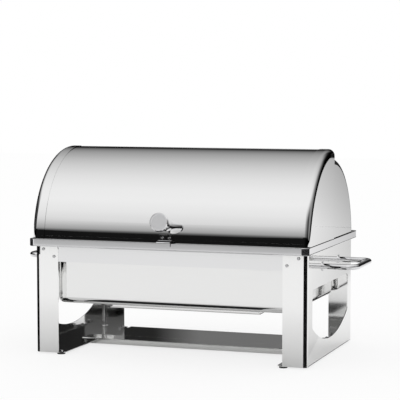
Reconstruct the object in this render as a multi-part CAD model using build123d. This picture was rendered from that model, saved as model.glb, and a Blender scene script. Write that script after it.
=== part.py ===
from build123d import *

import math
import os

# Roll-top chafing dish, stainless sheet. Millimetres, +X right, -Y front, +Z up.
# Origin: on the floor, under the middle of the stand.

# Stand
FRAME_TOP = 247.0
FOOT_HEIGHT = 4.0
FRAME_SHEET = 1.5
FLANGE_WIDTH = 55.0
FLANGE_BEND = 9.0
FLANGE_CORNER = 10.0
BOTTOM_FLANGE = 68.0
BOTTOM_FOLD = 2.5

# Window in each side frame
WINDOW_WIDTH = 312.0
WINDOW_DROP = 81.0
WINDOW_BOTTOM = 40.5
WINDOW_ARC = 310.0
WINDOW_TOP_CORNER = 10.0
WINDOW_LOW_CORNER = 8.0

# Feet
FOOT_DIAMETER = 18.0
FOOT_INSET_X = 56.0
FOOT_INSET_Y = 12.0
FOOT_RECESS = 8.4
FOOT_RECESS_DEPTH = 2.0

# Rim, ledge and deck of the top frame, laid out round the food pan
RECESS_PLAY_X = 41.0
RECESS_PLAY_Y = 13.5
RIM_HEIGHT = 14.0
RIM_OVERHANG_X = 7.5
RIM_OVERHANG_Y = 23.5
RIM_CORNER = 15.0
RIM_SHEET = 1.2
RIM_EDGE = 1.0
LEDGE_WIDTH_X = 16.5
LEDGE_WIDTH_Y = 43.5
RECESS_DEPTH = 22.0
RECESS_CORNER = 12.0

# Gastronorm 1/1 food pan and its opening
PAN_LENGTH = 530.0
PAN_WIDTH = 325.0
PAN_DEPTH = 65.0
PAN_SHEET = 1.0
PAN_FLANGE = 12.5
PAN_FLANGE_CORNER = 15.0
PAN_BODY_CORNER = 46.0
PAN_DRAFT = 5.5
PAN_BOTTOM_RADIUS = 14.0
PAN_PLAY = 1.5

# Water pan and the diffuser tray below it
WATER_MARGIN_X = 24.5
WATER_MARGIN_Y = 23.0
WATER_DEPTH = 124.3
WATER_CORNER = 20.0
WATER_BOTTOM_RADIUS = 14.0
WATER_SHEET = 1.2
WATER_FLANGE = 8.0
TRAY_LENGTH = 356.0
TRAY_WIDTH = 184.0
TRAY_HEIGHT = 17.0
TRAY_SHEET = 1.2
TRAY_FLARE = 9.0
TRAY_LIP = 2.5

# Aprons
APRON_DROP = 38.0
APRON_SHEET = 1.2
APRON_RETURN = 10.0
APRON_GAP = 13.0

# Stretcher and shelf
STRETCHER_FRONT = -60.0
STRETCHER_WIDTH = 54.0
STRETCHER_HEIGHT = 11.0
STRETCHER_SHEET = 1.5
STRETCHER_BEND = 2.5
SHELF_LAP = 15.0
SHELF_SHEET = 1.5
SHELF_REAR_GAP = 6.0
SHELF_SCREW_Y = (40.0, 150.0)
SHELF_NOTCH = 22.0

# Handles
HANDLE_ROD = 12.0
HANDLE_SPAN = 142.0
HANDLE_REACH = 74.0
HANDLE_BEND = 20.0
HANDLE_DROP = 39.5
HANDLE_SHANK = 8.0
HANDLE_WASHER = 20.0
HANDLE_WASHER_THICKNESS = 2.0

# Roll-top hood: rear half fixed, front half turning about the same axis
AXIS_DROP = 6.0
COVER_FRONT_INSET = 14.5
HOOD_STEP = 19.0
COVER_END_INSET = 1.5
END_GAP = 1.0
HOOD_SHEET = 1.0
END_ROUND = 15.0
END_BAND = 32.0
LAP_GAP = 0.05
FOOT_GAP = 0.5
OPENING = 84.0
SEAM_TOP = 4.0
REAR_HOOD_FRONT = -20.0
LIP_GAP = 1.5
HOOD_FOOT = 9.0
HOOD_SCREW_X = 200.0
HOOD_SCREW_INSET = 5.5

# Pivots
LUG_RADIUS = 7.0
STUD = 5.0
STUD_LENGTH = 10.5
STUD_GROOVE = 4.2
RUNNING_GAP = 0.05
BUSH_OUTER = 8.0
BUSH_FLANGE = 12.0
BUSH_FLANGE_THICKNESS = 0.8
BUSH_BARREL = 3.0
PIVOT_WASHER = 11.0
PIVOT_WASHER_THICKNESS = 1.0
CLIP_DIAMETER = 9.0
CLIP_THICKNESS = 0.8
SLOT_HALF = 18.0
SLOT_SIDE_GAP = 0.8

# Knob
KNOB_ANGLE = 12.4
KNOB_LENGTH = 52.0
KNOB_FACE = 41.0
KNOB_NECK = 27.0
KNOB_HEAD = 9.0
KNOB_COLLAR = 4.0
KNOB_EDGE = 1.5
KNOB_RIM = 3.5
KNOB_FACE_RECESS = 1.0
KNOB_SCREW = 5.0
KNOB_SCREW_REACH = 25.0
KNOB_WASHER = 16.0
KNOB_WASHER_THICKNESS = 1.5
KNOB_WASHER_SETTLE = 0.2

# Stop bracket at the foot of the cover
STOP_WIDTH = 31.0
STOP_SHEET = 2.0
STOP_TOP = 23.0
STOP_LIP_BOTTOM = -1.0
STOP_LIP_GAP = 2.0
STOP_BEND = 5.0
STOP_PAD = 3.5
STOP_RIVET = 4.0
STOP_RIVET_PITCH = 16.0
STOP_RIVET_HEAD = 1.2
STOP_RIVET_HEAD_DIAMETER = 6.4
STOP_RIVET_Z = 16.0

# Fasteners: shank, head diameter, head height, nut across flats, nut height
M3 = (3.0, 5.5, 1.6, 5.5, 2.4)
M4 = (4.0, 7.0, 1.8, 7.0, 3.2)
M5 = (5.0, 9.0, 3.0, 8.0, 4.0)
M8 = (8.0, 13.0, 4.0, 13.0, 6.5)
THREAD_GAP = 0.05
HOLE_GAP = 0.2
SCREW_TAIL = 0.8
FLANGE_SCREWS = ((20.0, 10.5), (45.5, 26.5))

# Worked out from the sizes above
FAR = 1000.0
PAN_BODY_LENGTH = PAN_LENGTH - 2 * PAN_FLANGE
PAN_BODY_WIDTH = PAN_WIDTH - 2 * PAN_FLANGE
RECESS_X = PAN_LENGTH / 2 + RECESS_PLAY_X
RECESS_Y = PAN_WIDTH / 2 + RECESS_PLAY_Y
RIM_X = RECESS_X + LEDGE_WIDTH_X
RIM_Y = RECESS_Y + LEDGE_WIDTH_Y
RIM_TOP = FRAME_TOP + RIM_HEIGHT
LEDGE_UNDER = RIM_TOP - RIM_SHEET
DECK_TOP = RIM_TOP - RECESS_DEPTH
DECK_UNDER = DECK_TOP - RIM_SHEET
X_OUT = RIM_X - RIM_OVERHANG_X
Y_OUT = RIM_Y - RIM_OVERHANG_Y
FLANGE_TOP = FOOT_HEIGHT + FRAME_SHEET
WINDOW_TOP = FRAME_TOP - WINDOW_DROP
FOOT_X = X_OUT - FOOT_INSET_X
FOOT_Y = Y_OUT - FOOT_INSET_Y
WATER_LENGTH = PAN_BODY_LENGTH + 2 * WATER_MARGIN_X
WATER_WIDTH = PAN_BODY_WIDTH + 2 * WATER_MARGIN_Y
WATER_BOTTOM = DECK_UNDER - WATER_DEPTH
APRON_FACE = Y_OUT - FRAME_SHEET
APRON_HALF = X_OUT - APRON_GAP
APRON_BOTTOM = FRAME_TOP - APRON_DROP
SHELF_X = X_OUT - BOTTOM_FLANGE + SHELF_LAP
SHELF_REAR = Y_OUT - SHELF_REAR_GAP
SHELF_TOP = FLANGE_TOP + SHELF_SHEET
SHELF_SCREW_X = SHELF_X - SHELF_LAP / 2
HANDLE_Z = FRAME_TOP - HANDLE_DROP
AXIS_Z = RIM_TOP - AXIS_DROP
COVER_RADIUS = RIM_Y - COVER_FRONT_INSET
REAR_RADIUS = COVER_RADIUS - HOOD_STEP
COVER_X = RIM_X - COVER_END_INSET
REAR_X = COVER_X - HOOD_SHEET - END_GAP
HOOD_SCREW_Y = REAR_RADIUS - HOOD_SCREW_INSET


def save(name, shape):
    """Write one node as a STEP file."""
    os.makedirs("parts", exist_ok=True)
    export_step(shape, f"parts/{name}.step")


def group(name, solids):
    """Write one node made of several separate solids."""
    save(name, Compound(children=list(solids)))


def block(x0, x1, y0, y1, z0, z1):
    """A box between two corners."""
    size = (abs(x1 - x0), abs(y1 - y0), abs(z1 - z0))
    return Pos((x0 + x1) / 2, (y0 + y1) / 2, (z0 + z1) / 2) * Box(*size)


def slab(length, width, corner, z0, z1):
    """A flat plate with rounded corners, centred on the Z axis."""
    return Pos(0, 0, z0) * extrude(RectangleRounded(length, width, corner), z1 - z0)


def rod(diameter, start, end):
    """A round bar from one point to another."""
    axis = Vector(*end) - Vector(*start)
    return Plane(origin=start, z_dir=axis) * extrude(Circle(diameter / 2), axis.length)


def bolt(size, seat, direction, length):
    """A pan-head screw with its head standing on the seat and its shank along the direction."""
    shank, head, head_height = size[:3]
    place = Plane(origin=seat, z_dir=direction)
    crown = place * Pos(0, 0, -head_height) * extrude(Circle(head / 2), head_height)
    crown = fillet(crown.edges().sort_by(Axis(seat, direction))[0], 0.5 * head_height)
    return crown + place * extrude(Circle(shank / 2), length)


def nut(size, seat, direction):
    """A hexagon nut standing on the seat, on the side that the direction points to."""
    blank = RegularPolygon(size[3] / math.sqrt(3), 6) - Circle(size[0] / 2 + THREAD_GAP)
    return Plane(origin=seat, z_dir=direction) * extrude(blank, size[4])


def washer(outer, inner, thickness, seat, direction):
    """A flat ring standing on the seat."""
    ring = Circle(outer / 2) - Circle(inner / 2)
    return Plane(origin=seat, z_dir=direction) * extrude(ring, thickness)


def mirrored(shape):
    """The same shape on the left."""
    return mirror(shape, Plane.YZ)


def corners(shape):
    """Four copies of a shape that is modelled in the front right quarter."""
    pair = [shape, mirrored(shape)]
    return pair + [mirror(one, Plane.XZ) for one in pair]


# Side frames


def flange_screw_points():
    """Places of the screws in the front flange of the right side frame."""
    return [(X_OUT - inset, FRAME_TOP - drop) for inset, drop in FLANGE_SCREWS]


def handle_points():
    """Y places of the two arms of a handle."""
    return [-HANDLE_SPAN / 2, HANDLE_SPAN / 2]


def side_frame():
    """The right side frame: a panel with front, rear and bottom flanges from one sheet."""
    outer = RectangleRounded(2 * FLANGE_WIDTH, 2 * Y_OUT, FLANGE_BEND)
    inner = RectangleRounded(
        2 * (FLANGE_WIDTH - FRAME_SHEET), 2 * (Y_OUT - FRAME_SHEET), FLANGE_BEND - FRAME_SHEET
    )
    tube = Pos(X_OUT - FLANGE_WIDTH, 0, FOOT_HEIGHT) * extrude(
        outer - inner, FRAME_TOP - FOOT_HEIGHT
    )
    inner_edge = X_OUT - FLANGE_WIDTH
    frame = tube - block(inner_edge - FAR, inner_edge, -FAR, FAR, 0, FAR)

    # Rounded upper inner corner on both flanges.
    corner_cut = block(
        inner_edge, inner_edge + FLANGE_CORNER, -FAR, FAR, FRAME_TOP - FLANGE_CORNER, FRAME_TOP
    )
    corner_keep = rod(
        2 * FLANGE_CORNER,
        (inner_edge + FLANGE_CORNER, -FAR, FRAME_TOP - FLANGE_CORNER),
        (inner_edge + FLANGE_CORNER, FAR, FRAME_TOP - FLANGE_CORNER),
    )
    frame = frame - (corner_cut - corner_keep)

    # Window: straight sides, flat top, shallow arc below.
    height = WINDOW_TOP - WINDOW_BOTTOM
    window = Pos(0, WINDOW_BOTTOM + height / 2) * Rectangle(WINDOW_WIDTH, height)
    window = window & Pos(0, WINDOW_BOTTOM + WINDOW_ARC) * Circle(WINDOW_ARC)
    by_height = window.vertices().sort_by(Axis.Y)
    window = fillet(by_height[-2:], WINDOW_TOP_CORNER)
    low = [v for v in window.vertices().sort_by(Axis.Y) if abs(v.X) > WINDOW_WIDTH / 2 - 0.01]
    window = fillet(low[:2], WINDOW_LOW_CORNER)
    frame = frame - Plane.YZ * Pos(0, 0, X_OUT - FLANGE_WIDTH / 2) * extrude(window, FLANGE_WIDTH)

    # Bottom flange, clear of the upright flanges at its ends.
    ends = Y_OUT - FRAME_SHEET - HOLE_GAP
    foot_plate = block(
        X_OUT - BOTTOM_FLANGE, X_OUT - FLANGE_BEND, -ends, ends, FOOT_HEIGHT, FLANGE_TOP
    )
    foot_plate = fillet(
        foot_plate.edges().filter_by(Axis.Z).group_by(Axis.X)[0], FLANGE_CORNER
    )
    bend_clear = ends - FLANGE_BEND
    root = block(
        X_OUT - FLANGE_BEND, X_OUT - FRAME_SHEET / 2, -bend_clear, bend_clear, FOOT_HEIGHT, FLANGE_TOP
    )
    fold_x = X_OUT - BOTTOM_FOLD
    fold_z = FOOT_HEIGHT + BOTTOM_FOLD
    fold_square = block(fold_x, X_OUT, -bend_clear, bend_clear, FOOT_HEIGHT, fold_z)
    fold_round = rod(2 * BOTTOM_FOLD, (fold_x, -bend_clear, fold_z), (fold_x, bend_clear, fold_z))
    frame = (frame + foot_plate + root) - (fold_square - fold_round)

    for x, z in flange_screw_points():
        frame = frame - rod(M4[0] + 2 * HOLE_GAP, (x, -Y_OUT - 1, z), (x, -APRON_FACE + 1, z))
        frame = frame - rod(M4[0] + 2 * HOLE_GAP, (x, APRON_FACE - 1, z), (x, Y_OUT + 1, z))
    for y in handle_points():
        frame = frame - rod(
            HANDLE_SHANK + 2 * HOLE_GAP, (X_OUT - FLANGE_BEND, y, HANDLE_Z), (X_OUT + 1, y, HANDLE_Z)
        )
    upright = [(FOOT_X, -FOOT_Y), (FOOT_X, FOOT_Y)] + [(SHELF_SCREW_X, y) for y in SHELF_SCREW_Y]
    for x, y in upright:
        frame = frame - rod(M4[0] + 2 * HOLE_GAP, (x, y, 0), (x, y, FLANGE_TOP + 1))
    return frame


right_frame = side_frame()
save("right_side_frame", right_frame)
save("left_side_frame", mirrored(right_frame))

# Feet with recessed screws and nuts on the bottom flange

foot = Pos(FOOT_X, -FOOT_Y, 0) * extrude(Circle(FOOT_DIAMETER / 2), FOOT_HEIGHT)
foot = foot - rod(M4[0] + 2 * HOLE_GAP, (FOOT_X, -FOOT_Y, 0), (FOOT_X, -FOOT_Y, FOOT_HEIGHT))
foot = foot - rod(FOOT_RECESS, (FOOT_X, -FOOT_Y, 0), (FOOT_X, -FOOT_Y, FOOT_RECESS_DEPTH))
group("feet", corners(foot))

foot_screw_length = FLANGE_TOP + M4[4] + SCREW_TAIL - FOOT_RECESS_DEPTH
foot_screw = bolt(M4, (FOOT_X, -FOOT_Y, FOOT_RECESS_DEPTH), (0, 0, 1), foot_screw_length)
group("foot_screws", corners(foot_screw))
group("foot_nuts", corners(nut(M4, (FOOT_X, -FOOT_Y, FLANGE_TOP), (0, 0, 1))))

# Shelf and stretcher

shelf = block(-SHELF_X, SHELF_X, STRETCHER_FRONT, SHELF_REAR, FLANGE_TOP, SHELF_TOP)
notch = block(SHELF_X - SHELF_NOTCH, FAR, SHELF_REAR - SHELF_NOTCH, FAR, 0, FAR)
shelf = shelf - notch - mirrored(notch)
for side in (-1, 1):
    for y in SHELF_SCREW_Y:
        x = side * SHELF_SCREW_X
        shelf = shelf - rod(M4[0] + 2 * HOLE_GAP, (x, y, 0), (x, y, SHELF_TOP + 1))
save("bottom_shelf", shelf)

channel = block(
    -SHELF_X,
    SHELF_X,
    STRETCHER_FRONT,
    STRETCHER_FRONT + STRETCHER_WIDTH,
    SHELF_TOP,
    SHELF_TOP + STRETCHER_HEIGHT,
)
channel = fillet(
    channel.edges().filter_by(Axis.X).group_by(Axis.Z)[-1], STRETCHER_BEND
)
hollow = block(
    -FAR,
    FAR,
    STRETCHER_FRONT + STRETCHER_SHEET,
    STRETCHER_FRONT + STRETCHER_WIDTH - STRETCHER_SHEET,
    0,
    SHELF_TOP + STRETCHER_HEIGHT - STRETCHER_SHEET,
)
save("centre_stretcher", channel - hollow)

shelf_screws = []
shelf_nuts = []
for side in (-1, 1):
    for y in SHELF_SCREW_Y:
        x = side * SHELF_SCREW_X
        grip = FRAME_SHEET + SHELF_SHEET
        shelf_screws.append(
            bolt(M4, (x, y, FOOT_HEIGHT), (0, 0, 1), grip + M4[4] + SCREW_TAIL)
        )
        shelf_nuts.append(nut(M4, (x, y, SHELF_TOP), (0, 0, 1)))
group("shelf_screws", shelf_screws)
group("shelf_nuts", shelf_nuts)

# Top frame: rim band, ledge, recess wall and deck with the pan opening

rim = slab(2 * RIM_X, 2 * RIM_Y, RIM_CORNER, FRAME_TOP, RIM_TOP)
rim = fillet(rim.edges().group_by(Axis.Z)[-1], RIM_EDGE)
rim = rim - slab(
    2 * (RIM_X - RIM_SHEET), 2 * (RIM_Y - RIM_SHEET), RIM_CORNER - RIM_SHEET, 0, LEDGE_UNDER
)
rim = rim + slab(
    2 * (RECESS_X + RIM_SHEET), 2 * (RECESS_Y + RIM_SHEET), RECESS_CORNER + RIM_SHEET, DECK_UNDER, RIM_TOP
)
rim = rim - slab(2 * RECESS_X, 2 * RECESS_Y, RECESS_CORNER, DECK_TOP, FAR)
rim = rim - slab(
    PAN_BODY_LENGTH + 2 * PAN_PLAY,
    PAN_BODY_WIDTH + 2 * PAN_PLAY,
    PAN_BODY_CORNER + PAN_PLAY,
    0,
    FAR,
)
slot = block(
    RECESS_X + RIM_SHEET + SLOT_SIDE_GAP,
    RIM_X - RIM_SHEET,
    -SLOT_HALF,
    SLOT_HALF,
    LEDGE_UNDER - 1,
    RIM_TOP + 1,
)
rim = rim - slot - mirrored(slot)
for x in (-HOOD_SCREW_X, HOOD_SCREW_X):
    rim = rim - rod(M3[0] + 2 * HOLE_GAP, (x, HOOD_SCREW_Y, DECK_UNDER), (x, HOOD_SCREW_Y, RIM_TOP + 1))
save("top_frame", rim)

# Aprons


def apron(sign):
    """A hanging sheet behind the flanges, with a small return at its bottom edge."""
    face = sign * APRON_FACE
    back = sign * (APRON_FACE - APRON_SHEET)
    sheet = block(-APRON_HALF, APRON_HALF, face, back, APRON_BOTTOM, LEDGE_UNDER)
    fold = block(
        -APRON_HALF + FLANGE_WIDTH,
        APRON_HALF - FLANGE_WIDTH,
        face,
        sign * (APRON_FACE - APRON_RETURN),
        APRON_BOTTOM,
        APRON_BOTTOM + APRON_SHEET,
    )
    sheet = sheet + fold
    for x, z in flange_screw_points():
        for side in (-1, 1):
            sheet = sheet - rod(
                M4[0] + 2 * HOLE_GAP, (side * x, face + sign, z), (side * x, back - sign, z)
            )
    return sheet


save("front_apron", apron(-1))
save("rear_apron", apron(1))

flange_screws = []
flange_nuts = []
for x, z in flange_screw_points():
    grip = FRAME_SHEET + APRON_SHEET
    screw = bolt(M4, (x, -Y_OUT, z), (0, 1, 0), grip + M4[4] + SCREW_TAIL)
    flange_screws += corners(screw)
    flange_nuts += corners(nut(M4, (x, -Y_OUT + grip, z), (0, 1, 0)))
group("flange_screws", flange_screws)
group("flange_nuts", flange_nuts)

# Water pan and diffuser tray


def tub(length, width, corner, top, bottom, radius):
    """A plain tub block with rounded corners and a rounded bottom edge."""
    body = slab(length, width, corner, bottom, top)
    return fillet(body.edges().group_by(Axis.Z)[0], radius)


water = tub(
    WATER_LENGTH, WATER_WIDTH, WATER_CORNER, DECK_UNDER, WATER_BOTTOM, WATER_BOTTOM_RADIUS
)
water = water + slab(
    WATER_LENGTH + 2 * WATER_FLANGE,
    WATER_WIDTH + 2 * WATER_FLANGE,
    WATER_CORNER + WATER_FLANGE,
    DECK_UNDER - WATER_SHEET,
    DECK_UNDER,
)
water = water - tub(
    WATER_LENGTH - 2 * WATER_SHEET,
    WATER_WIDTH - 2 * WATER_SHEET,
    WATER_CORNER - WATER_SHEET,
    DECK_UNDER,
    WATER_BOTTOM + WATER_SHEET,
    WATER_BOTTOM_RADIUS - WATER_SHEET,
)
save("water_pan", water)


def tray_profile(half, flare, base, top):
    """Side view of the tray: a trapezium, wider at the bottom."""
    return Polyline(
        (-half, base), (half, base), (half - flare, top), (-half + flare, top), close=True
    )


TRAY_BASE = WATER_BOTTOM - TRAY_HEIGHT
tray_outer = make_face(tray_profile(TRAY_LENGTH / 2 - TRAY_LIP, TRAY_FLARE, TRAY_BASE, WATER_BOTTOM))
tray_inner = make_face(
    tray_profile(
        TRAY_LENGTH / 2 - TRAY_LIP - TRAY_SHEET,
        TRAY_FLARE,
        TRAY_BASE - 1,
        WATER_BOTTOM - TRAY_SHEET,
    )
)
tray = Plane.XZ * extrude(tray_outer, TRAY_WIDTH / 2 - TRAY_LIP, both=True)
tray = tray - Plane.XZ * extrude(
    tray_inner, TRAY_WIDTH / 2 - TRAY_LIP - TRAY_SHEET, both=True
)
lip = block(
    -TRAY_LENGTH / 2,
    TRAY_LENGTH / 2,
    -TRAY_WIDTH / 2,
    TRAY_WIDTH / 2,
    TRAY_BASE,
    TRAY_BASE + TRAY_SHEET,
)
well = block(
    -TRAY_LENGTH / 2 + TRAY_LIP + TRAY_SHEET,
    TRAY_LENGTH / 2 - TRAY_LIP - TRAY_SHEET,
    -TRAY_WIDTH / 2 + TRAY_LIP + TRAY_SHEET,
    TRAY_WIDTH / 2 - TRAY_LIP - TRAY_SHEET,
    0,
    FAR,
)
save("heat_diffuser", tray + (lip - well))

# Food pan


def drafted(length, width, corner, top, bottom, draft, radius):
    """A block that narrows towards its rounded bottom."""
    upper = Pos(0, 0, top) * RectangleRounded(length, width, corner)
    lower = Pos(0, 0, bottom) * RectangleRounded(
        length - 2 * draft, width - 2 * draft, corner - draft
    )
    body = loft([lower, upper])
    return fillet(body.edges().group_by(Axis.Z)[0], radius)


PAN_TOP = DECK_TOP + PAN_SHEET
pan = drafted(
    PAN_BODY_LENGTH,
    PAN_BODY_WIDTH,
    PAN_BODY_CORNER,
    PAN_TOP,
    PAN_TOP - PAN_DEPTH,
    PAN_DRAFT,
    PAN_BOTTOM_RADIUS,
)
pan = pan + slab(PAN_LENGTH, PAN_WIDTH, PAN_FLANGE_CORNER, DECK_TOP, PAN_TOP)
pan = pan - drafted(
    PAN_BODY_LENGTH - 2 * PAN_SHEET,
    PAN_BODY_WIDTH - 2 * PAN_SHEET,
    PAN_BODY_CORNER - PAN_SHEET,
    PAN_TOP,
    PAN_TOP - PAN_DEPTH + PAN_SHEET,
    PAN_DRAFT,
    PAN_BOTTOM_RADIUS - PAN_SHEET,
)
save("food_pan", pan)

# Handles

HANDLE_START = X_OUT + HANDLE_WASHER_THICKNESS
HANDLE_FAR = X_OUT + HANDLE_REACH
half_span = HANDLE_SPAN / 2
route = FilletPolyline(
    (HANDLE_START, -half_span, HANDLE_Z),
    (HANDLE_FAR, -half_span, HANDLE_Z),
    (HANDLE_FAR, half_span, HANDLE_Z),
    (HANDLE_START, half_span, HANDLE_Z),
    radius=HANDLE_BEND,
)
section = Plane(origin=route @ 0, z_dir=route % 0) * Circle(HANDLE_ROD / 2)
handle = sweep(section, path=route)
shank_end = X_OUT - FRAME_SHEET - M8[4] - SCREW_TAIL
for y in handle_points():
    handle = handle + rod(HANDLE_SHANK, (HANDLE_START, y, HANDLE_Z), (shank_end, y, HANDLE_Z))
save("right_handle", handle)
save("left_handle", mirrored(handle))

handle_washers = []
handle_nuts = []
for y in handle_points():
    ring = washer(
        HANDLE_WASHER,
        HANDLE_SHANK + 2 * THREAD_GAP,
        HANDLE_WASHER_THICKNESS,
        (X_OUT, y, HANDLE_Z),
        (1, 0, 0),
    )
    handle_washers += [ring, mirrored(ring)]
    hexagon = nut(M8, (X_OUT - FRAME_SHEET, y, HANDLE_Z), (-1, 0, 0))
    handle_nuts += [hexagon, mirrored(hexagon)]
group("handle_washers", handle_washers)
group("handle_nuts", handle_nuts)

# Hood: both halves are solids of revolution about the pivot axis, cut to their sector

AXIS = Axis((0, 0, AXIS_Z), (1, 0, 0))


def turned(points_and_arcs):
    """Revolve a closed half section (X along the axis, Y outwards) about the pivot axis."""
    face = make_face(points_and_arcs)
    on_plane = Plane(origin=(0, 0, AXIS_Z), x_dir=(1, 0, 0), z_dir=(0, -1, 0)) * face
    return revolve(on_plane, AXIS, 360)


def cap_body(end, radius, inner_step):
    """The solid inside a rounded end cap, drawn inwards from its outer face by a step."""
    x = end - inner_step
    r = radius - inner_step
    rounding = END_ROUND - inner_step
    outline = [
        Line((end - END_BAND, 0), (x, 0)),
        Line((x, 0), (x, r - rounding)),
        RadiusArc((x, r - rounding), (x - rounding, r), -rounding),
        Line((x - rounding, r), (end - END_BAND, r)),
        Line((end - END_BAND, r), (end - END_BAND, 0)),
    ]
    return turned(outline)


def end_cap(end, radius):
    """A pressed cap: flat end, rounded edge and a short skirt over the wrapper sheet."""
    return cap_body(end, radius, 0) - cap_body(end, radius, HOOD_SHEET)


def tube_wall(half_length, outer, inner):
    """A tube about the pivot axis."""
    ring = Circle(outer) - Circle(inner)
    place = Plane(origin=(-half_length, 0, AXIS_Z), x_dir=(0, 1, 0), z_dir=(1, 0, 0))
    return place * extrude(ring, 2 * half_length)


def tube_core(radius):
    """A long round bar about the pivot axis."""
    return rod(2 * radius, (-FAR, 0, AXIS_Z), (FAR, 0, AXIS_Z))


def prism(points, x0=-FAR, x1=FAR):
    """A prism along X over a polygon of (Y, height above the pivot axis)."""
    place = Plane(origin=(x0, 0, AXIS_Z), x_dir=(0, 1, 0), z_dir=(1, 0, 0))
    return place * extrude(make_face(Polyline(*points, close=True)), x1 - x0)


def lug(x0, x1, angle, reach):
    """A rounded lug about the pivot axis, running out at an angle above the rear."""
    place = Plane(origin=(x0, 0, AXIS_Z), x_dir=(0, 1, 0), z_dir=(1, 0, 0))
    arm = Rot(0, 0, angle) * Pos(reach / 2, 0) * Rectangle(reach, 2 * LUG_RADIUS)
    return place * extrude(Circle(LUG_RADIUS) + arm, x1 - x0)


# Sector of the turning cover. Its lower rear corner lets it swing to OPENING above the ledge.
COVER_FOOT = AXIS_DROP + FOOT_GAP
swing = math.radians(OPENING)
SEAM_FOOT = -COVER_FOOT * (1 - math.cos(swing)) / math.sin(swing)
seam_slope = (SEAM_TOP - SEAM_FOOT) / (COVER_RADIUS - COVER_FOOT)
seam_far = SEAM_FOOT + seam_slope * (FAR - COVER_FOOT)
cover_sector = prism(
    [(-FAR, COVER_FOOT), (SEAM_FOOT, COVER_FOOT), (seam_far, FAR), (-FAR, FAR)]
)
seam_strip = prism(
    [
        (SEAM_FOOT - HOOD_SHEET, COVER_FOOT),
        (SEAM_FOOT, COVER_FOOT),
        (seam_far, FAR),
        (seam_far - HOOD_SHEET, FAR),
    ]
)
rear_sector = prism(
    [(REAR_HOOD_FRONT, AXIS_DROP), (FAR, AXIS_DROP), (FAR, FAR), (REAR_HOOD_FRONT, FAR)]
)

# Front cover: caps and wrapper. The wrapper's rear edge turns in towards the rear hood.
cover_cap = end_cap(COVER_X, COVER_RADIUS) & cover_sector
edge_lip = cap_body(COVER_X, COVER_RADIUS, HOOD_SHEET) & seam_strip
edge_lip = edge_lip - tube_core(REAR_RADIUS + LIP_GAP)
edge_lip = edge_lip & block(COVER_X - END_ROUND, FAR, -FAR, FAR, 0, FAR)
cover_cap = cover_cap + edge_lip
cover_cap = cover_cap + lug(COVER_X - HOOD_SHEET, COVER_X, 135, 3 * LUG_RADIUS)
save("cover_right_cap", cover_cap)
save("cover_left_cap", mirrored(cover_cap))

wrap_outer = COVER_RADIUS - HOOD_SHEET - LAP_GAP
wrap_inner = wrap_outer - HOOD_SHEET
wrap_half = COVER_X - END_ROUND
cover_sheet = tube_wall(wrap_half, wrap_outer, wrap_inner) & cover_sector
wrap_lip = tube_wall(wrap_half, wrap_inner + HOOD_SHEET / 2, REAR_RADIUS + LIP_GAP) & seam_strip
cover_sheet = cover_sheet + wrap_lip

# Rear hood: caps and wrapper, with a foot turned in along the ledge.
rear_cap = end_cap(REAR_X, REAR_RADIUS) & rear_sector
rear_cap = rear_cap + lug(REAR_X - HOOD_SHEET, REAR_X, 90, 2 * LUG_RADIUS)
rear_cap = rear_cap - rod(BUSH_OUTER, (0, 0, AXIS_Z), (FAR, 0, AXIS_Z))
save("rear_hood_right_cap", rear_cap)
save("rear_hood_left_cap", mirrored(rear_cap))

rear_outer = REAR_RADIUS - HOOD_SHEET - LAP_GAP
rear_inner = rear_outer - HOOD_SHEET
rear_half = REAR_X - END_ROUND
rear_sheet = tube_wall(rear_half, rear_outer, rear_inner) & rear_sector
hood_foot_plate = prism(
    [
        (REAR_RADIUS - HOOD_FOOT, AXIS_DROP),
        (rear_inner + HOOD_SHEET / 2, AXIS_DROP),
        (rear_inner + HOOD_SHEET / 2, AXIS_DROP + HOOD_SHEET),
        (REAR_RADIUS - HOOD_FOOT, AXIS_DROP + HOOD_SHEET),
    ],
    -rear_half + END_BAND,
    rear_half - END_BAND,
)
rear_sheet = rear_sheet + hood_foot_plate
hood_screws = []
hood_nuts = []
hood_grip = HOOD_SHEET + RIM_SHEET
for x in (-HOOD_SCREW_X, HOOD_SCREW_X):
    seat = (x, HOOD_SCREW_Y, RIM_TOP + HOOD_SHEET)
    rear_sheet = rear_sheet - rod(M3[0] + 2 * HOLE_GAP, (x, HOOD_SCREW_Y, LEDGE_UNDER), seat)
    hood_screws.append(bolt(M3, seat, (0, 0, -1), hood_grip + M3[4] + SCREW_TAIL))
    hood_nuts.append(nut(M3, (x, HOOD_SCREW_Y, LEDGE_UNDER), (0, 0, -1)))
save("rear_hood_sheet", rear_sheet)
group("rear_hood_screws", hood_screws)
group("rear_hood_nuts", hood_nuts)

# Pivots: bush in the rear hood's lug, stud on the cover's lug

bush = washer(
    BUSH_FLANGE,
    STUD + 2 * RUNNING_GAP,
    BUSH_FLANGE_THICKNESS,
    (REAR_X, 0, AXIS_Z),
    (1, 0, 0),
)
bush = bush + washer(
    BUSH_OUTER,
    STUD + 2 * RUNNING_GAP,
    HOOD_SHEET + BUSH_BARREL,
    (REAR_X - HOOD_SHEET - BUSH_BARREL, 0, AXIS_Z),
    (1, 0, 0),
)
group("pivot_bushes", [bush, mirrored(bush)])

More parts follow.
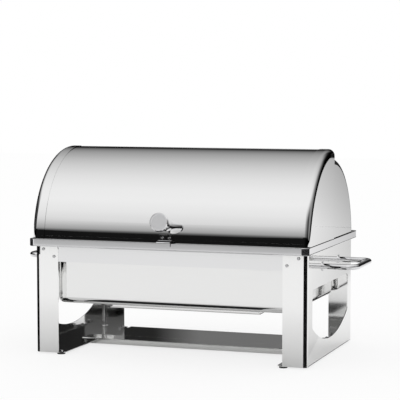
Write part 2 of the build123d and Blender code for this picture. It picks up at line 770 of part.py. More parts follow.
stud_face = COVER_X - HOOD_SHEET
stud = rod(STUD, (stud_face, 0, AXIS_Z), (stud_face - STUD_LENGTH, 0, AXIS_Z))
washer_x = REAR_X - HOOD_SHEET - BUSH_BARREL - 2 * RUNNING_GAP - PIVOT_WASHER_THICKNESS
clip_x = washer_x - CLIP_THICKNESS
groove = washer(STUD + 1, STUD_GROOVE, CLIP_THICKNESS, (clip_x, 0, AXIS_Z), (1, 0, 0))
stud = stud - groove
group("pivot_studs", [stud, mirrored(stud)])
ring = washer(
    PIVOT_WASHER,
    STUD + 2 * THREAD_GAP,
    PIVOT_WASHER_THICKNESS,
    (washer_x, 0, AXIS_Z),
    (1, 0, 0),
)
group("pivot_washers", [ring, mirrored(ring)])
clip = washer(
    CLIP_DIAMETER, STUD_GROOVE + 2 * THREAD_GAP, CLIP_THICKNESS, (clip_x, 0, AXIS_Z), (1, 0, 0)
)
clip_mouth = block(0, FAR, -STUD_GROOVE / 3, STUD_GROOVE / 3, 0, AXIS_Z)
clip = clip - clip_mouth
group("pivot_clips", [clip, mirrored(clip)])

# Knob, square to the cover at its own angle: a turned body with a satin disc in its face

tilt = math.radians(KNOB_ANGLE)
knob_out = Vector(0, -math.cos(tilt), math.sin(tilt))
knob_plane = Plane(
    origin=(0, 0, AXIS_Z), x_dir=(1, 0, 0), z_dir=Vector(1, 0, 0).cross(knob_out)
)
knob_axis = Axis((0, 0, AXIS_Z), knob_out)


def on_knob_axis(distance):
    """A point on the knob's axis at a distance from the pivot axis."""
    return Vector(0, 0, AXIS_Z) + knob_out * distance


def knob_turned(outline):
    """Revolve a closed half section (radius, distance from the pivot axis) about the knob's axis."""
    return revolve(knob_plane * make_face(outline), knob_axis, 360)


knob_end = wrap_outer + KNOB_LENGTH
neck = KNOB_NECK / 2
head = KNOB_FACE / 2
head_start = knob_end - KNOB_HEAD
knob_outline = [
    Line((0, wrap_inner), (neck, wrap_inner)),
    Line((neck, wrap_inner), (neck, wrap_outer + KNOB_COLLAR)),
    Spline(
        (neck, wrap_outer + KNOB_COLLAR),
        (head, head_start),
        tangents=((0, 1), (0.35, 1)),
    ),
    Line((head, head_start), (head, knob_end - KNOB_EDGE)),
    Line((head, knob_end - KNOB_EDGE), (head - KNOB_EDGE, knob_end)),
    Line((head - KNOB_EDGE, knob_end), (0, knob_end)),
    Line((0, knob_end), (0, wrap_inner)),
]
knob = knob_turned(knob_outline) - tube_core(wrap_outer)
face_radius = head - KNOB_RIM
recess_seat = on_knob_axis(knob_end - KNOB_FACE_RECESS)
knob = knob - rod(2 * face_radius, recess_seat, on_knob_axis(knob_end + 1))
screw_seat = wrap_inner - KNOB_WASHER_SETTLE - KNOB_WASHER_THICKNESS
screw_tip = wrap_outer + KNOB_SCREW_REACH
knob = knob - rod(KNOB_SCREW + 2 * THREAD_GAP, on_knob_axis(0), on_knob_axis(screw_tip + 1))
save("knob_body", knob)
save("knob_face", rod(2 * face_radius - 2 * LAP_GAP, recess_seat, on_knob_axis(knob_end)))

cover_sheet = cover_sheet - rod(
    KNOB_SCREW + 2 * HOLE_GAP, on_knob_axis(screw_seat), on_knob_axis(screw_tip)
)
save(
    "knob_screw",
    bolt(M5, on_knob_axis(screw_seat), knob_out, screw_tip - screw_seat),
)
save(
    "knob_washer",
    washer(
        KNOB_WASHER,
        KNOB_SCREW + 2 * HOLE_GAP,
        KNOB_WASHER_THICKNESS,
        on_knob_axis(screw_seat),
        knob_out,
    ),
)

# Stop bracket: riveted leg, tongue over the ledge, lip down the front of the rim

lip_face = -RIM_Y - STOP_LIP_GAP
tongue_low = AXIS_DROP + STOP_PAD
tongue_top = tongue_low + STOP_SHEET
stop_half = STOP_WIDTH / 2
tongue = prism(
    [
        (lip_face - STOP_SHEET, STOP_LIP_BOTTOM),
        (lip_face, STOP_LIP_BOTTOM),
        (lip_face, tongue_low),
        (-wrap_outer + HOOD_SHEET, tongue_low),
        (-wrap_outer + HOOD_SHEET, tongue_top),
        (lip_face - STOP_SHEET, tongue_top),
    ],
    -stop_half,
    stop_half,
)
tongue = fillet(
    tongue.edges().filter_by(Axis.X).group_by(Axis.Y)[0].group_by(Axis.Z)[-1], STOP_BEND
)
leg = tube_wall(stop_half, wrap_outer + STOP_SHEET, wrap_outer) & prism(
    [(-FAR, tongue_low), (0, tongue_low), (0, STOP_TOP), (-FAR, STOP_TOP)]
)
bracket = (tongue + leg) - tube_core(wrap_outer)

rivets = []
lean = math.asin(STOP_RIVET_Z / wrap_outer)
away = Vector(0, -math.cos(lean), math.sin(lean))
for x in (-STOP_RIVET_PITCH / 2, STOP_RIVET_PITCH / 2):
    centre = Vector(x, 0, AXIS_Z)
    head_seat = centre + away * (wrap_outer + STOP_SHEET)
    head_end = head_seat + away * STOP_RIVET_HEAD
    tail_end = centre + away * (wrap_inner - STOP_RIVET_HEAD)
    hole = rod(STOP_RIVET + 2 * THREAD_GAP, tail_end, head_end)
    bracket = bracket - hole
    cover_sheet = cover_sheet - hole
    upset = rod(STOP_RIVET_HEAD_DIAMETER, tail_end, head_seat) & tube_core(wrap_inner)
    shank = rod(STOP_RIVET, tail_end, head_seat)
    rivets.append(rod(STOP_RIVET_HEAD_DIAMETER, head_seat, head_end) + shank + upset)
save("stop_bracket", bracket)
group("stop_rivets", rivets)
save("cover_sheet", cover_sheet)

pad = prism(
    [
        (-RIM_Y + STOP_PAD, AXIS_DROP),
        (-wrap_outer - HOOD_SHEET, AXIS_DROP),
        (-wrap_outer - HOOD_SHEET, tongue_low),
        (-RIM_Y + STOP_PAD, tongue_low),
    ],
    -stop_half + STOP_SHEET,
    stop_half - STOP_SHEET,
)
save("stop_pad", pad)
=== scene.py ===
import math

import bpy
import numpy as np
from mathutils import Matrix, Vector


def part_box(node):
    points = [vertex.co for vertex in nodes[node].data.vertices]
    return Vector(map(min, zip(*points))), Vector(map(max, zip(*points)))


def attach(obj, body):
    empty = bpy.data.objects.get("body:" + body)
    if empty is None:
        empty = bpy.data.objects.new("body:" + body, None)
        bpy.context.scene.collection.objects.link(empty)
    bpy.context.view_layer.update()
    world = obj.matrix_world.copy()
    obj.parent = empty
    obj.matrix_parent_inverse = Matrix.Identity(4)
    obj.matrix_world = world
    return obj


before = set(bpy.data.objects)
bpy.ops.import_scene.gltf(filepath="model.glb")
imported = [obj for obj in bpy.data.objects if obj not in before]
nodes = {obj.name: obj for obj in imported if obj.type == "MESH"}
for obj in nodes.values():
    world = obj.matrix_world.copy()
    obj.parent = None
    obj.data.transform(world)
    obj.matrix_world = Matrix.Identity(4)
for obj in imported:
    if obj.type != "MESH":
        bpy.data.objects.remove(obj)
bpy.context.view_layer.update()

# Side frames: one folded sheet of stainless steel on each side, polished with the grain running
# up the legs. A window is cut through the panel, and its edges are folded in as flanges that the
# aprons, the shelf and the feet are screwed to.


def steel(name, colour, gloss, grain, streaks, waves):
    """Stainless steel sheet. Roughness runs between the two gloss values along a noise that is
    stretched by the grain's three scales, and the same noise, faint, tints the colour. A second
    slow noise lifts the surface by the waves' height in metres, as rolled sheet is never flat."""
    material = bpy.data.materials.new(name)
    material.use_nodes = True
    tree = material.node_tree
    tree.nodes.clear()
    out = tree.nodes.new("ShaderNodeOutputMaterial")
    shader = tree.nodes.new("ShaderNodeBsdfPrincipled")
    place = tree.nodes.new("ShaderNodeTexCoord")
    stretch = tree.nodes.new("ShaderNodeMapping")
    brush = tree.nodes.new("ShaderNodeTexNoise")
    rough = tree.nodes.new("ShaderNodeMapRange")
    tint = tree.nodes.new("ShaderNodeMix")
    slow = tree.nodes.new("ShaderNodeTexNoise")
    bump = tree.nodes.new("ShaderNodeBump")
    shader.inputs["Metallic"].default_value = 1.0
    stretch.inputs["Scale"].default_value = grain
    brush.inputs["Scale"].default_value = 1.0
    brush.inputs["Detail"].default_value = 4.0
    brush.inputs["Roughness"].default_value = 0.6
    rough.inputs["From Min"].default_value = 0.3
    rough.inputs["From Max"].default_value = 0.7
    rough.inputs["To Min"].default_value = gloss[0]
    rough.inputs["To Max"].default_value = gloss[1]
    tint.data_type = "RGBA"
    tint.inputs["A"].default_value = (*(c * (1 - streaks) for c in colour), 1)
    tint.inputs["B"].default_value = (*(min(1, c * (1 + streaks)) for c in colour), 1)
    slow.inputs["Scale"].default_value = 9.0
    slow.inputs["Detail"].default_value = 1.0
    bump.inputs["Strength"].default_value = 1.0
    bump.inputs["Distance"].default_value = waves
    link = tree.links.new
    link(place.outputs["Object"], stretch.inputs["Vector"])
    link(stretch.outputs["Vector"], brush.inputs["Vector"])
    link(brush.outputs["Fac"], rough.inputs["Value"])
    link(brush.outputs["Fac"], tint.inputs["Factor"])
    link(rough.outputs["Result"], shader.inputs["Roughness"])
    link(tint.outputs["Result"], shader.inputs["Base Color"])
    link(place.outputs["Object"], slow.inputs["Vector"])
    link(slow.outputs["Fac"], bump.inputs["Height"])
    link(bump.outputs["Normal"], shader.inputs["Normal"])
    link(shader.outputs["BSDF"], out.inputs["Surface"])
    return material


def clad(material, *names):
    """Give CAD nodes their finish."""
    for name in names:
        nodes[name].data.materials.clear()
        nodes[name].data.materials.append(material)


frame_steel = steel("frame_steel", (0.90, 0.90, 0.895), (0.05, 0.08), (900, 900, 12), 0.015, 0.00002)
clad(frame_steel, "right_side_frame", "left_side_frame")

# Feet: moulded rubber discs under the bottom flanges of the side frames. Each is held by a screw
# that sits in a recess of the rubber, and by a nut above the flange. Both are plain steel.

rubber = bpy.data.materials.new("black_rubber")
rubber.use_nodes = True
tree = rubber.node_tree
shader = tree.nodes["Principled BSDF"]
shader.inputs["Base Color"].default_value = (0.025, 0.025, 0.026, 1)
shader.inputs["Roughness"].default_value = 0.55
place = tree.nodes.new("ShaderNodeTexCoord")
grain = tree.nodes.new("ShaderNodeTexNoise")
grain.inputs["Scale"].default_value = 900.0
bump = tree.nodes.new("ShaderNodeBump")
bump.inputs["Distance"].default_value = 0.0002
bump.inputs["Strength"].default_value = 0.5
tree.links.new(place.outputs["Object"], grain.inputs["Vector"])
tree.links.new(grain.outputs["Fac"], bump.inputs["Height"])
tree.links.new(bump.outputs["Normal"], shader.inputs["Normal"])
clad(rubber, "feet")

fastener_steel = steel("fastener_steel", (0.72, 0.72, 0.73), (0.16, 0.3), (300, 300, 300), 0.04, 0.0)
clad(fastener_steel, "foot_screws", "foot_nuts")

# Shelf and stretcher: plain stainless sheet across the bottom, rolled lengthwise. The shelf lies
# on the side frames' bottom flanges and is screwed down. The stretcher is a folded channel that
# stands on its front edge.

shelf_steel = steel("shelf_steel", (0.84, 0.84, 0.83), (0.05, 0.1), (6, 500, 500), 0.12, 0.00004)
clad(shelf_steel, "bottom_shelf", "centre_stretcher")
clad(fastener_steel, "shelf_screws", "shelf_nuts")

# Top frame: pressed from one stainless sheet and mirror-polished. A skirt runs round its rim, and
# the skirt's bottom edge is rolled in, which stiffens it and leaves nothing sharp to the hand.

mirror_steel = steel("mirror_steel", (0.80, 0.80, 0.81), (0.015, 0.03), (40, 200, 200), 0.01, 0.00001)
clad(mirror_steel, "top_frame")

RIM_CORNER = 0.015
RIM_SKIRT = 0.014
HEM_HEIGHT = 0.0022
HEM_DEPTH = 0.6 * HEM_HEIGHT
RIM_STEPS = 64
HEM_STEPS = 12


def carried(path, outward, profile):
    """A closed profile carried round a closed path. Each point is the path point, plus its
    outward direction times the profile's first column, plus the second column upwards."""
    points = (
        path[:, None, :]
        + outward[:, None, :] * profile[None, :, 0, None]
        + np.array((0, 0, 1.0)) * profile[None, :, 1, None]
    )
    rows, ring = len(path), len(profile)
    row, col = np.meshgrid(np.arange(rows), np.arange(ring), indexing="ij")
    after, beside = (row + 1) % rows, (col + 1) % ring
    corners = [row * ring + col, after * ring + col, after * ring + beside, row * ring + beside]
    return points.reshape(-1, 3), np.stack(corners, -1).reshape(-1, 4)


rim_edge = Vector(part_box("top_frame")[1])
turn = np.linspace(0, 2 * np.pi, RIM_STEPS + 1)[:-1]
outward = np.stack([np.cos(turn), np.sin(turn), 0 * turn], 1)
quarter = np.stack([np.where(np.cos(turn) > 0, 1, -1), np.where(np.sin(turn) > 0, 1, -1)], 1)
middle = quarter * (np.array((rim_edge.x, rim_edge.y)) - RIM_CORNER)
skirt_foot = np.full((RIM_STEPS, 1), rim_edge.z - RIM_SKIRT)
path = np.concatenate([middle, skirt_foot], 1) + outward * RIM_CORNER
around = np.linspace(0, 2 * np.pi, HEM_STEPS + 1)[:-1]
roll = np.stack([HEM_DEPTH / 2 * (np.cos(around) - 1), HEM_HEIGHT / 2 * (np.sin(around) - 1)], 1)
hem_points, hem_faces = carried(path, outward, roll)
hem_mesh = bpy.data.meshes.new("rim_hem")
hem_mesh.from_pydata(hem_points.tolist(), [], hem_faces.tolist())
hem_mesh.materials.append(mirror_steel)
rim_hem = bpy.data.objects.new("rim_hem", hem_mesh)
bpy.context.scene.collection.objects.link(rim_hem)
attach(rim_hem, "stand")

# Aprons: stainless sheets that hang behind the front and rear flanges, brushed lengthwise. Two
# screws through each flange hold them, with their nuts behind.

apron_steel = steel("apron_steel", (0.78, 0.78, 0.785), (0.04, 0.07), (8, 700, 700), 0.012, 0.00002)
clad(apron_steel, "front_apron", "rear_apron")
clad(fastener_steel, "flange_screws", "flange_nuts")

# Water pan, its heat diffuser tray and the food pan: deep-drawn stainless sheet, bright but soft
# in its reflections. The water pan hangs by its flange in the top frame, and the food pan in it.

pan_steel = steel("pan_steel", (0.84, 0.84, 0.835), (0.06, 0.1), (10, 120, 120), 0.012, 0.00003)
clad(pan_steel, "water_pan", "heat_diffuser", "food_pan")

# Handles: stainless rod, bent twice and mirror-polished. Its ends go through the side frame with
# a collar washer outside and a nut inside.

clad(mirror_steel, "right_handle", "left_handle", "handle_washers")
clad(fastener_steel, "handle_nuts")

# Hood: two half-cylinder shells of mirror-polished stainless sheet, each with pressed end caps.
# The rear one is screwed to the top frame, and the front one turns round it as the cover.

hood_steel = steel("hood_steel", (0.80, 0.80, 0.80), (0.015, 0.035), (5, 160, 160), 0.006, 0.00001)
clad(hood_steel, "rear_hood_sheet", "rear_hood_right_cap", "rear_hood_left_cap")
clad(hood_steel, "cover_sheet", "cover_right_cap", "cover_left_cap")
clad(fastener_steel, "rear_hood_screws", "rear_hood_nuts")

# Pivots: a turned steel stud at each end of the cover runs in a nylon bush in the rear hood's end
# cap. A washer and a clip in the stud's groove keep it there.

nylon = bpy.data.materials.new("bush_plastic")
nylon.use_nodes = True
tree = nylon.node_tree
shader = tree.nodes["Principled BSDF"]
place = tree.nodes.new("ShaderNodeTexCoord")
cloud = tree.nodes.new("ShaderNodeTexNoise")
cloud.inputs["Scale"].default_value = 220.0
tint = tree.nodes.new("ShaderNodeMix")
tint.data_type = "RGBA"
tint.inputs["A"].default_value = (0.78, 0.78, 0.74, 1)
tint.inputs["B"].default_value = (0.84, 0.84, 0.80, 1)
shader.inputs["Roughness"].default_value = 0.5
tree.links.new(place.outputs["Object"], cloud.inputs["Vector"])
tree.links.new(cloud.outputs["Fac"], tint.inputs["Factor"])
tree.links.new(tint.outputs["Result"], shader.inputs["Base Color"])
clad(nylon, "pivot_bushes")
clad(fastener_steel, "pivot_studs", "pivot_washers", "pivot_clips")

# Knob and stop bracket: the knob is turned steel with a satin face set in its end, screwed to the
# cover from inside. The bracket below it is bent sheet, riveted on, with a rubber pad under its
# tongue that meets the rim.

clad(mirror_steel, "knob_body", "stop_bracket")
satin_steel = steel("satin_steel", (0.80, 0.80, 0.81), (0.3, 0.4), (400, 400, 400), 0.03, 0.00001)
clad(satin_steel, "knob_face")
clad(fastener_steel, "knob_screw", "knob_washer", "stop_rivets")
clad(rubber, "stop_pad")

# Studio table: a wide white top. Part of what the camera and metal see of it is plain white, and
# the rest is matt, so that it keeps the dish's shadow.

TABLE_REACH = 9
CAMERA_WHITE = 0.8
METAL_WHITE = 0.02


def maths(tree, operation, *values):
    """A maths node; numbers fill its inputs, sockets are linked to them."""
    node = tree.nodes.new("ShaderNodeMath")
    node.operation = operation
    for slot, value in enumerate(values):
        if isinstance(value, (int, float)):
            node.inputs[slot].default_value = value
        else:
            tree.links.new(value, node.inputs[slot])
    return node.outputs["Value"]


def stage_sheet(name, points, faces, material):
    """A stage surface from its points and faces."""
    mesh = bpy.data.meshes.new(name)
    mesh.from_pydata(np.asarray(points, float).tolist(), [], np.asarray(faces).tolist())
    mesh.materials.append(material)
    piece = bpy.data.objects.new(name, mesh)
    bpy.context.scene.collection.objects.link(piece)
    return piece


table = bpy.data.materials.new("table")
table.use_nodes = True
tree = table.node_tree
tree.nodes.clear()
matt = tree.nodes.new("ShaderNodeBsdfDiffuse")
matt.inputs["Color"].default_value = (0.95, 0.95, 0.95, 1)
glow = tree.nodes.new("ShaderNodeEmission")
glow.inputs["Color"].default_value = (1, 1, 1, 1)
glow.inputs["Strength"].default_value = 1.0
seen = tree.nodes.new("ShaderNodeLightPath")
direct = maths(tree, "MULTIPLY", seen.outputs["Is Camera Ray"], CAMERA_WHITE)
mirrored = maths(tree, "MULTIPLY", seen.outputs["Is Glossy Ray"], METAL_WHITE)
either = maths(tree, "MAXIMUM", direct, mirrored)
every = maths(tree, "MAXIMUM", either, seen.outputs["Is Transmission Ray"])
mixed = tree.nodes.new("ShaderNodeMixShader")
out = tree.nodes.new("ShaderNodeOutputMaterial")
tree.links.new(every, mixed.inputs["Fac"])
tree.links.new(matt.outputs["BSDF"], mixed.inputs[1])
tree.links.new(glow.outputs["Emission"], mixed.inputs[2])
tree.links.new(mixed.outputs["Shader"], out.inputs["Surface"])
corners = np.array([(-1, -1, 0), (1, -1, 0), (1, 1, 0), (-1, 1, 0)]) * TABLE_REACH
stage_sheet("table", corners, [(0, 1, 2, 3)], table)

# Studio room: white all round for the camera, and for metal where no cloth hangs in the way. It
# gives plain soft light to everything.

world = bpy.data.worlds.new("studio")
world.use_nodes = True
bpy.context.scene.world = world
sky = world.node_tree
sky.nodes.clear()
seen = sky.nodes.new("ShaderNodeLightPath")
either = maths(sky, "MAXIMUM", seen.outputs["Is Camera Ray"], seen.outputs["Is Glossy Ray"])
every = maths(sky, "MAXIMUM", either, seen.outputs["Is Transmission Ray"])
soft = sky.nodes.new("ShaderNodeBackground")
soft.inputs["Color"].default_value = (1, 1, 1, 1)
soft.inputs["Strength"].default_value = 1.0
white = sky.nodes.new("ShaderNodeBackground")
white.inputs["Color"].default_value = (1, 1, 1, 1)
white.inputs["Strength"].default_value = 1.0
mixed = sky.nodes.new("ShaderNodeMixShader")
out = sky.nodes.new("ShaderNodeOutputWorld")
sky.links.new(every, mixed.inputs["Fac"])
sky.links.new(soft.outputs["Background"], mixed.inputs[1])
sky.links.new(white.outputs["Background"], mixed.inputs[2])
sky.links.new(mixed.outputs["Shader"], out.inputs["Surface"])

# Studio tent: a cloth dome that only metal sees. TENT gives its tone by the angle over the top
# from the front, in degrees, and AROUND by the compass angle, with dark flats left and right.

TENT = (
    (0.0, 0.009),
    (8.5, 0.009),
    (9.6, 0.16),
    (11.0, 0.35),
    (12.2, 0.44),
    (14.3, 0.51),
    (18.4, 0.67),
    (22.5, 0.81),
    (26.7, 0.895),
    (35.0, 0.98),
    (50.0, 1.05),
    (66.0, 1.03),
    (76.0, 0.98),
    (86.0, 0.92),
    (97.0, 0.83),
    (107.0, 0.74),
    (117.0, 0.635),
    (127.0, 0.52),
    (137.0, 0.42),
    (145.0, 0.32),
    (153.0, 0.19),
    (158.0, 0.08),
    (162.0, 0.015),
    (180.0, 0.009),
)
AROUND = (
    (-180.0, 0.05),
    (-142.0, 0.05),
    (-136.0, 1.0),
    (-82.0, 1.0),
    (-66.0, 0.5),
    (-43.0, 0.16),
    (-25.0, 0.02),
    (-10.0, 0.28),
    (10.0, 0.45),
    (35.0, 0.5),
    (50.0, 0.3),
    (57.0, 0.05),
    (78.0, 0.04),
    (86.0, 1.0),
    (125.0, 1.0),
    (132.0, 0.05),
    (180.0, 0.05),
)
FLATS_END = math.radians(22)
FLATS_GONE = math.radians(50)
DOME = 40.0
DOME_SIDES = 72
DOME_RINGS = 36


def ramp_of(tree, stops, low, high):
    """A ramp node through (place, level) stops, with places between low and high."""
    node = tree.nodes.new("ShaderNodeValToRGB")
    steps = node.color_ramp.elements
    for place, level in stops[1:-1]:
        steps.new((place - low) / (high - low)).color = (level, level, level, 1)
    steps[0].color = (stops[0][1],) * 3 + (1,)
    steps[-1].color = (stops[-1][1],) * 3 + (1,)
    return node


def places(tree):
    """The x, y and z of Object coordinates, as three sockets."""
    where = tree.nodes.new("ShaderNodeTexCoord")
    axes = tree.nodes.new("ShaderNodeSeparateXYZ")
    tree.links.new(where.outputs["Object"], axes.inputs["Vector"])
    return axes.outputs["X"], axes.outputs["Y"], axes.outputs["Z"]


cloth = bpy.data.materials.new("tent_cloth")
cloth.use_nodes = True
tree = cloth.node_tree
tree.nodes.clear()
x, y, z = places(tree)
over = maths(tree, "ARCTAN2", z, maths(tree, "MULTIPLY", y, -1.0))
tent = ramp_of(tree, TENT, 0.0, 180.0)
tree.links.new(maths(tree, "DIVIDE", over, math.pi), tent.inputs["Fac"])
about = maths(tree, "ARCTAN2", y, x)
flats = ramp_of(tree, AROUND, -180.0, 180.0)
compass = maths(tree, "ADD", maths(tree, "DIVIDE", about, 2 * math.pi), 0.5)
tree.links.new(compass, flats.inputs["Fac"])
square = maths(tree, "ADD", maths(tree, "MULTIPLY", x, x), maths(tree, "MULTIPLY", y, y))
height = maths(tree, "ARCTAN2", z, maths(tree, "SQRT", square))
rise = tree.nodes.new("ShaderNodeMapRange")
rise.interpolation_type = "SMOOTHSTEP"
rise.inputs["From Min"].default_value = FLATS_END
rise.inputs["From Max"].default_value = FLATS_GONE
tree.links.new(height, rise.inputs["Value"])
shade = tree.nodes.new("ShaderNodeMix")
shade.data_type = "FLOAT"
shade.inputs["B"].default_value = 1.0
tree.links.new(rise.outputs["Result"], shade.inputs["Factor"])
tree.links.new(flats.outputs["Color"], shade.inputs["A"])
lit = tree.nodes.new("ShaderNodeEmission")
lit.inputs["Color"].default_value = (1, 1, 1, 1)
out = tree.nodes.new("ShaderNodeOutputMaterial")
tone = maths(tree, "MULTIPLY", tent.outputs["Color"], shade.outputs["Result"])
tree.links.new(tone, lit.inputs["Strength"])
tree.links.new(lit.outputs["Emission"], out.inputs["Surface"])

across, up = np.meshgrid(
    np.linspace(0, 2 * np.pi, DOME_SIDES + 1), np.linspace(-0.5, 0.5, DOME_RINGS + 1) * np.pi
)
dome = np.stack([np.cos(up) * np.cos(across), np.cos(up) * np.sin(across), np.sin(up)], -1)
row = DOME_SIDES + 1
corner = np.arange(DOME_RINGS * row).reshape(DOME_RINGS, row)[:, :DOME_SIDES].ravel()
dome_faces = np.stack([corner, corner + 1, corner + row + 1, corner + row], 1)
tent_dome = stage_sheet("tent_dome", dome.reshape(-1, 3) * DOME, dome_faces, cloth)

# Studio cards that only metal sees, clear on one side and fading to dark: one on the table far in
# front, a drape behind, and painted shade on the table right behind and right in front of the dish.

FRONT_CARD = ((2.3, 0.0), (2.33, 0.05), (2.38, 0.4), (2.58, 0.5), (2.75, 1.0), (3.3, 1.0))
DRAPE = ((-4.0, 0.02), (-1.25, 0.02), (-1.05, 0.17), (0.1, 0.17), (0.35, 0.02), (2.0, 0.02))
DRAPE_Y = 3
DRAPE_SLOPE = 0.6
HAZE_SLOPE = 3.92
FADE_FROM, FADE_TO = 1.2, 0.6
NEAR_START = -1.05
NEAR_FOOT = -0.2
NEAR_MOST = 0.3


def spread(tree, value, start, end, most):
    """A share that grows evenly from 0 where the value is start, to most where it is end."""
    node = tree.nodes.new("ShaderNodeMapRange")
    node.inputs["From Min"].default_value = start
    node.inputs["From Max"].default_value = end
    node.inputs["To Max"].default_value = most
    tree.links.new(value, node.inputs["Value"])
    return node.outputs["Result"]


def front_share(tree, x, y, z):
    """Share of the front card by the distance ahead of the dish."""
    fade = ramp_of(tree, FRONT_CARD, FRONT_CARD[0][0], FRONT_CARD[-1][0])
    ahead = maths(tree, "SUBTRACT", maths(tree, "MULTIPLY", y, -1.0), FRONT_CARD[0][0])
    tree.links.new(ahead, fade.inputs["Fac"])
    return fade.outputs["Color"]


def drape_share(tree, x, y, z):
    """Share of the drape, which fades to the right, sooner the higher it is."""
    leaning = maths(tree, "SUBTRACT", x, maths(tree, "MULTIPLY", z, DRAPE_SLOPE))
    return spread(tree, leaning, FADE_FROM, FADE_TO, 1.0)


def drape_tone(tree, x, y, z):
    """Tone of the drape along its width."""
    low, high = DRAPE[0][0], DRAPE[-1][0]
    tone = ramp_of(tree, DRAPE, low, high)
    share = maths(tree, "DIVIDE", maths(tree, "ADD", x, -low), high - low)
    tree.links.new(share, tone.inputs["Fac"])
    return tone.outputs["Color"]


def rear_share(tree, x, y, z):
    """Share of the painted shade behind, fading to the right along the line of sight."""
    behind = maths(tree, "DIVIDE", maths(tree, "SUBTRACT", float(DRAPE_Y), y), HAZE_SLOPE)
    return spread(tree, maths(tree, "ADD", x, behind), FADE_FROM, FADE_TO, 1.0)


def near_share(tree, x, y, z):
    """Share of the painted shade in front, strongest at the feet."""
    return spread(tree, y, NEAR_START, NEAR_FOOT, NEAR_MOST)


def fading_card(name, corners, share, tone):
    """A flat card, clear where its share is 0 and of its tone where it is 1. The share, and a
    tone that varies, are functions of the place on the card."""
    material = bpy.data.materials.new(name)
    material.use_nodes = True
    tree = material.node_tree
    tree.nodes.clear()
    place = places(tree)
    clear = tree.nodes.new("ShaderNodeBsdfTransparent")
    dark = tree.nodes.new("ShaderNodeEmission")
    dark.inputs["Color"].default_value = (1, 1, 1, 1)
    if callable(tone):
        tree.links.new(tone(tree, *place), dark.inputs["Strength"])
    else:
        dark.inputs["Strength"].default_value = tone
    mixed = tree.nodes.new("ShaderNodeMixShader")
    out = tree.nodes.new("ShaderNodeOutputMaterial")
    tree.links.new(share(tree, *place), mixed.inputs["Fac"])
    tree.links.new(clear.outputs["BSDF"], mixed.inputs[1])
    tree.links.new(dark.outputs["Emission"], mixed.inputs[2])
    tree.links.new(mixed.outputs["Shader"], out.inputs["Surface"])
    return stage_sheet(name, corners, [(0, 1, 2, 3)], material)


hidden = [
    tent_dome,
    fading_card(
        "front_card",
        [(-9, -9, 0.003), (9, -9, 0.003), (9, -2.3, 0.003), (-9, -2.3, 0.003)],
        front_share,
        0.009,
    ),
    fading_card(
        "rear_drape",
        [(-4, DRAPE_Y, 0), (1.3, DRAPE_Y, 0), (1.3, DRAPE_Y, 1.1), (-4, DRAPE_Y, 1.1)],
        drape_share,
        drape_tone,
    ),
    # Painted shade on the table behind the dish and to its right, seen only in the metal.
    fading_card(
        "rear_shade",
        [(0.324, -0.2, 0.002), (0.386, -0.2, 0.002), (1.2, DRAPE_Y, 0.002), (0.9, DRAPE_Y, 0.002)],
        rear_share,
        0.02,
    ),
    # Painted shade of the dish on the table in front of it, seen only in the metal.
    fading_card(
        "near_shade",
        [
            (-1.0, NEAR_START, 0.0025),
            (0.6, NEAR_START, 0.0025),
            (0.6, -0.197, 0.0025),
            (-1.0, -0.197, 0.0025),
        ],
        near_share,
        0.02,
    ),
]

# Dark strips and cards that only metal sees, close to the dish. The upright strips and the card over
# the rim are painted dark reflections on the front bends of the legs and rim and on the rim's upper
# edge. The cards on the table are painted shadow of the dish, seen in the pan's lower edge and in the
# foot of each side frame.

STRIP_STEPS = 25


def matt_card(name, colour):
    """Matt card of one dark tone."""
    material = bpy.data.materials.new(name)
    material.use_nodes = True
    shader = material.node_tree.nodes["Principled BSDF"]
    shader.inputs["Base Color"].default_value = (*colour, 1)
    shader.inputs["Roughness"].default_value = 1.0
    return material


dark_card = matt_card("black_strip", (0.008, 0.008, 0.009))
grey_card = matt_card("grey_strip", (0.05, 0.05, 0.052))
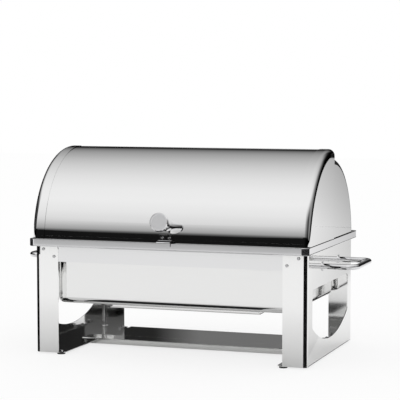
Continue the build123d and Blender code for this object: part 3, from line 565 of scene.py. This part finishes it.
# The strips are painted dark reflections on the front bends of the legs and rim.
# Each strip: name, centre of its arc, radius, first and last angle, bottom, top, card.
STRIPS = (
    ("leg_left", -0.306, -0.187, 0.022, -112.0, -222.0, 0.001, 0.2465, dark_card),
    ("leg_right", 0.306, -0.187, 0.022, -98.0, -12.0, 0.001, 0.2465, dark_card),
    ("rim_left", -0.3075, -0.2045, 0.03, -115.0, -222.0, 0.22, 0.2615, grey_card),
    ("rim_right", 0.3075, -0.2045, 0.03, -97.0, 20.0, 0.22, 0.2615, grey_card),
)
# The cards on the table are painted shadow of the dish.
# Each card: name, left, right, front, rear, height.
CARDS = (
    ("shade_right", 0.296, 0.3215, -0.188, 0.188, 0.0015),
    ("shade_left", -0.3215, -0.296, -0.188, 0.188, 0.0015),
    ("pan_shadow", -0.262, 0.17, -0.4, -0.195, 0.003),
    # Painted dark reflection on the rim's upper edge.
    ("rim_reflection", -0.306, 0.306, -0.226, -0.211, 0.268),
)
for name, x, y, reach, first, last, low, high, card in STRIPS:
    angle = np.radians(np.linspace(first, last, STRIP_STEPS))
    across = x + reach * np.cos(angle)
    along = y + reach * np.sin(angle)
    rings = [np.stack([across, along, np.full(STRIP_STEPS, z)], 1) for z in (low, high)]
    foot = np.arange(STRIP_STEPS - 1)
    faces = np.stack([foot, foot + 1, foot + STRIP_STEPS + 1, foot + STRIP_STEPS], 1)
    hidden.append(stage_sheet("strip_" + name, np.concatenate(rings), faces, card))
for name, x0, x1, y0, y1, z in CARDS:
    corners = [(x0, y0, z), (x1, y0, z), (x1, y1, z), (x0, y1, z)]
    hidden.append(stage_sheet("card_" + name, corners, [(0, 1, 2, 3)], dark_card))
for piece in hidden:
    piece.visible_camera = False
    piece.visible_diffuse = False
    piece.visible_transmission = False
    piece.visible_shadow = False

# Camera: a long lens in front, to the right and a little above, aimed at the middle of the dish.

camera = bpy.data.cameras.new("camera")
camera.sensor_width = 36.0
camera.lens = 138.1
camera.shift_y = 0.0378
camera_piece = bpy.data.objects.new("camera", camera)
camera_piece.location = (1.1583, -3.2983, 0.6016)
aim = Vector((0.00653, 0.0, 0.30496)) - camera_piece.location
camera_piece.rotation_euler = aim.to_track_quat("-Z", "Y").to_euler()
bpy.context.scene.collection.objects.link(camera_piece)
bpy.context.scene.camera = camera_piece
bpy.context.scene.view_settings.view_transform = "Standard"
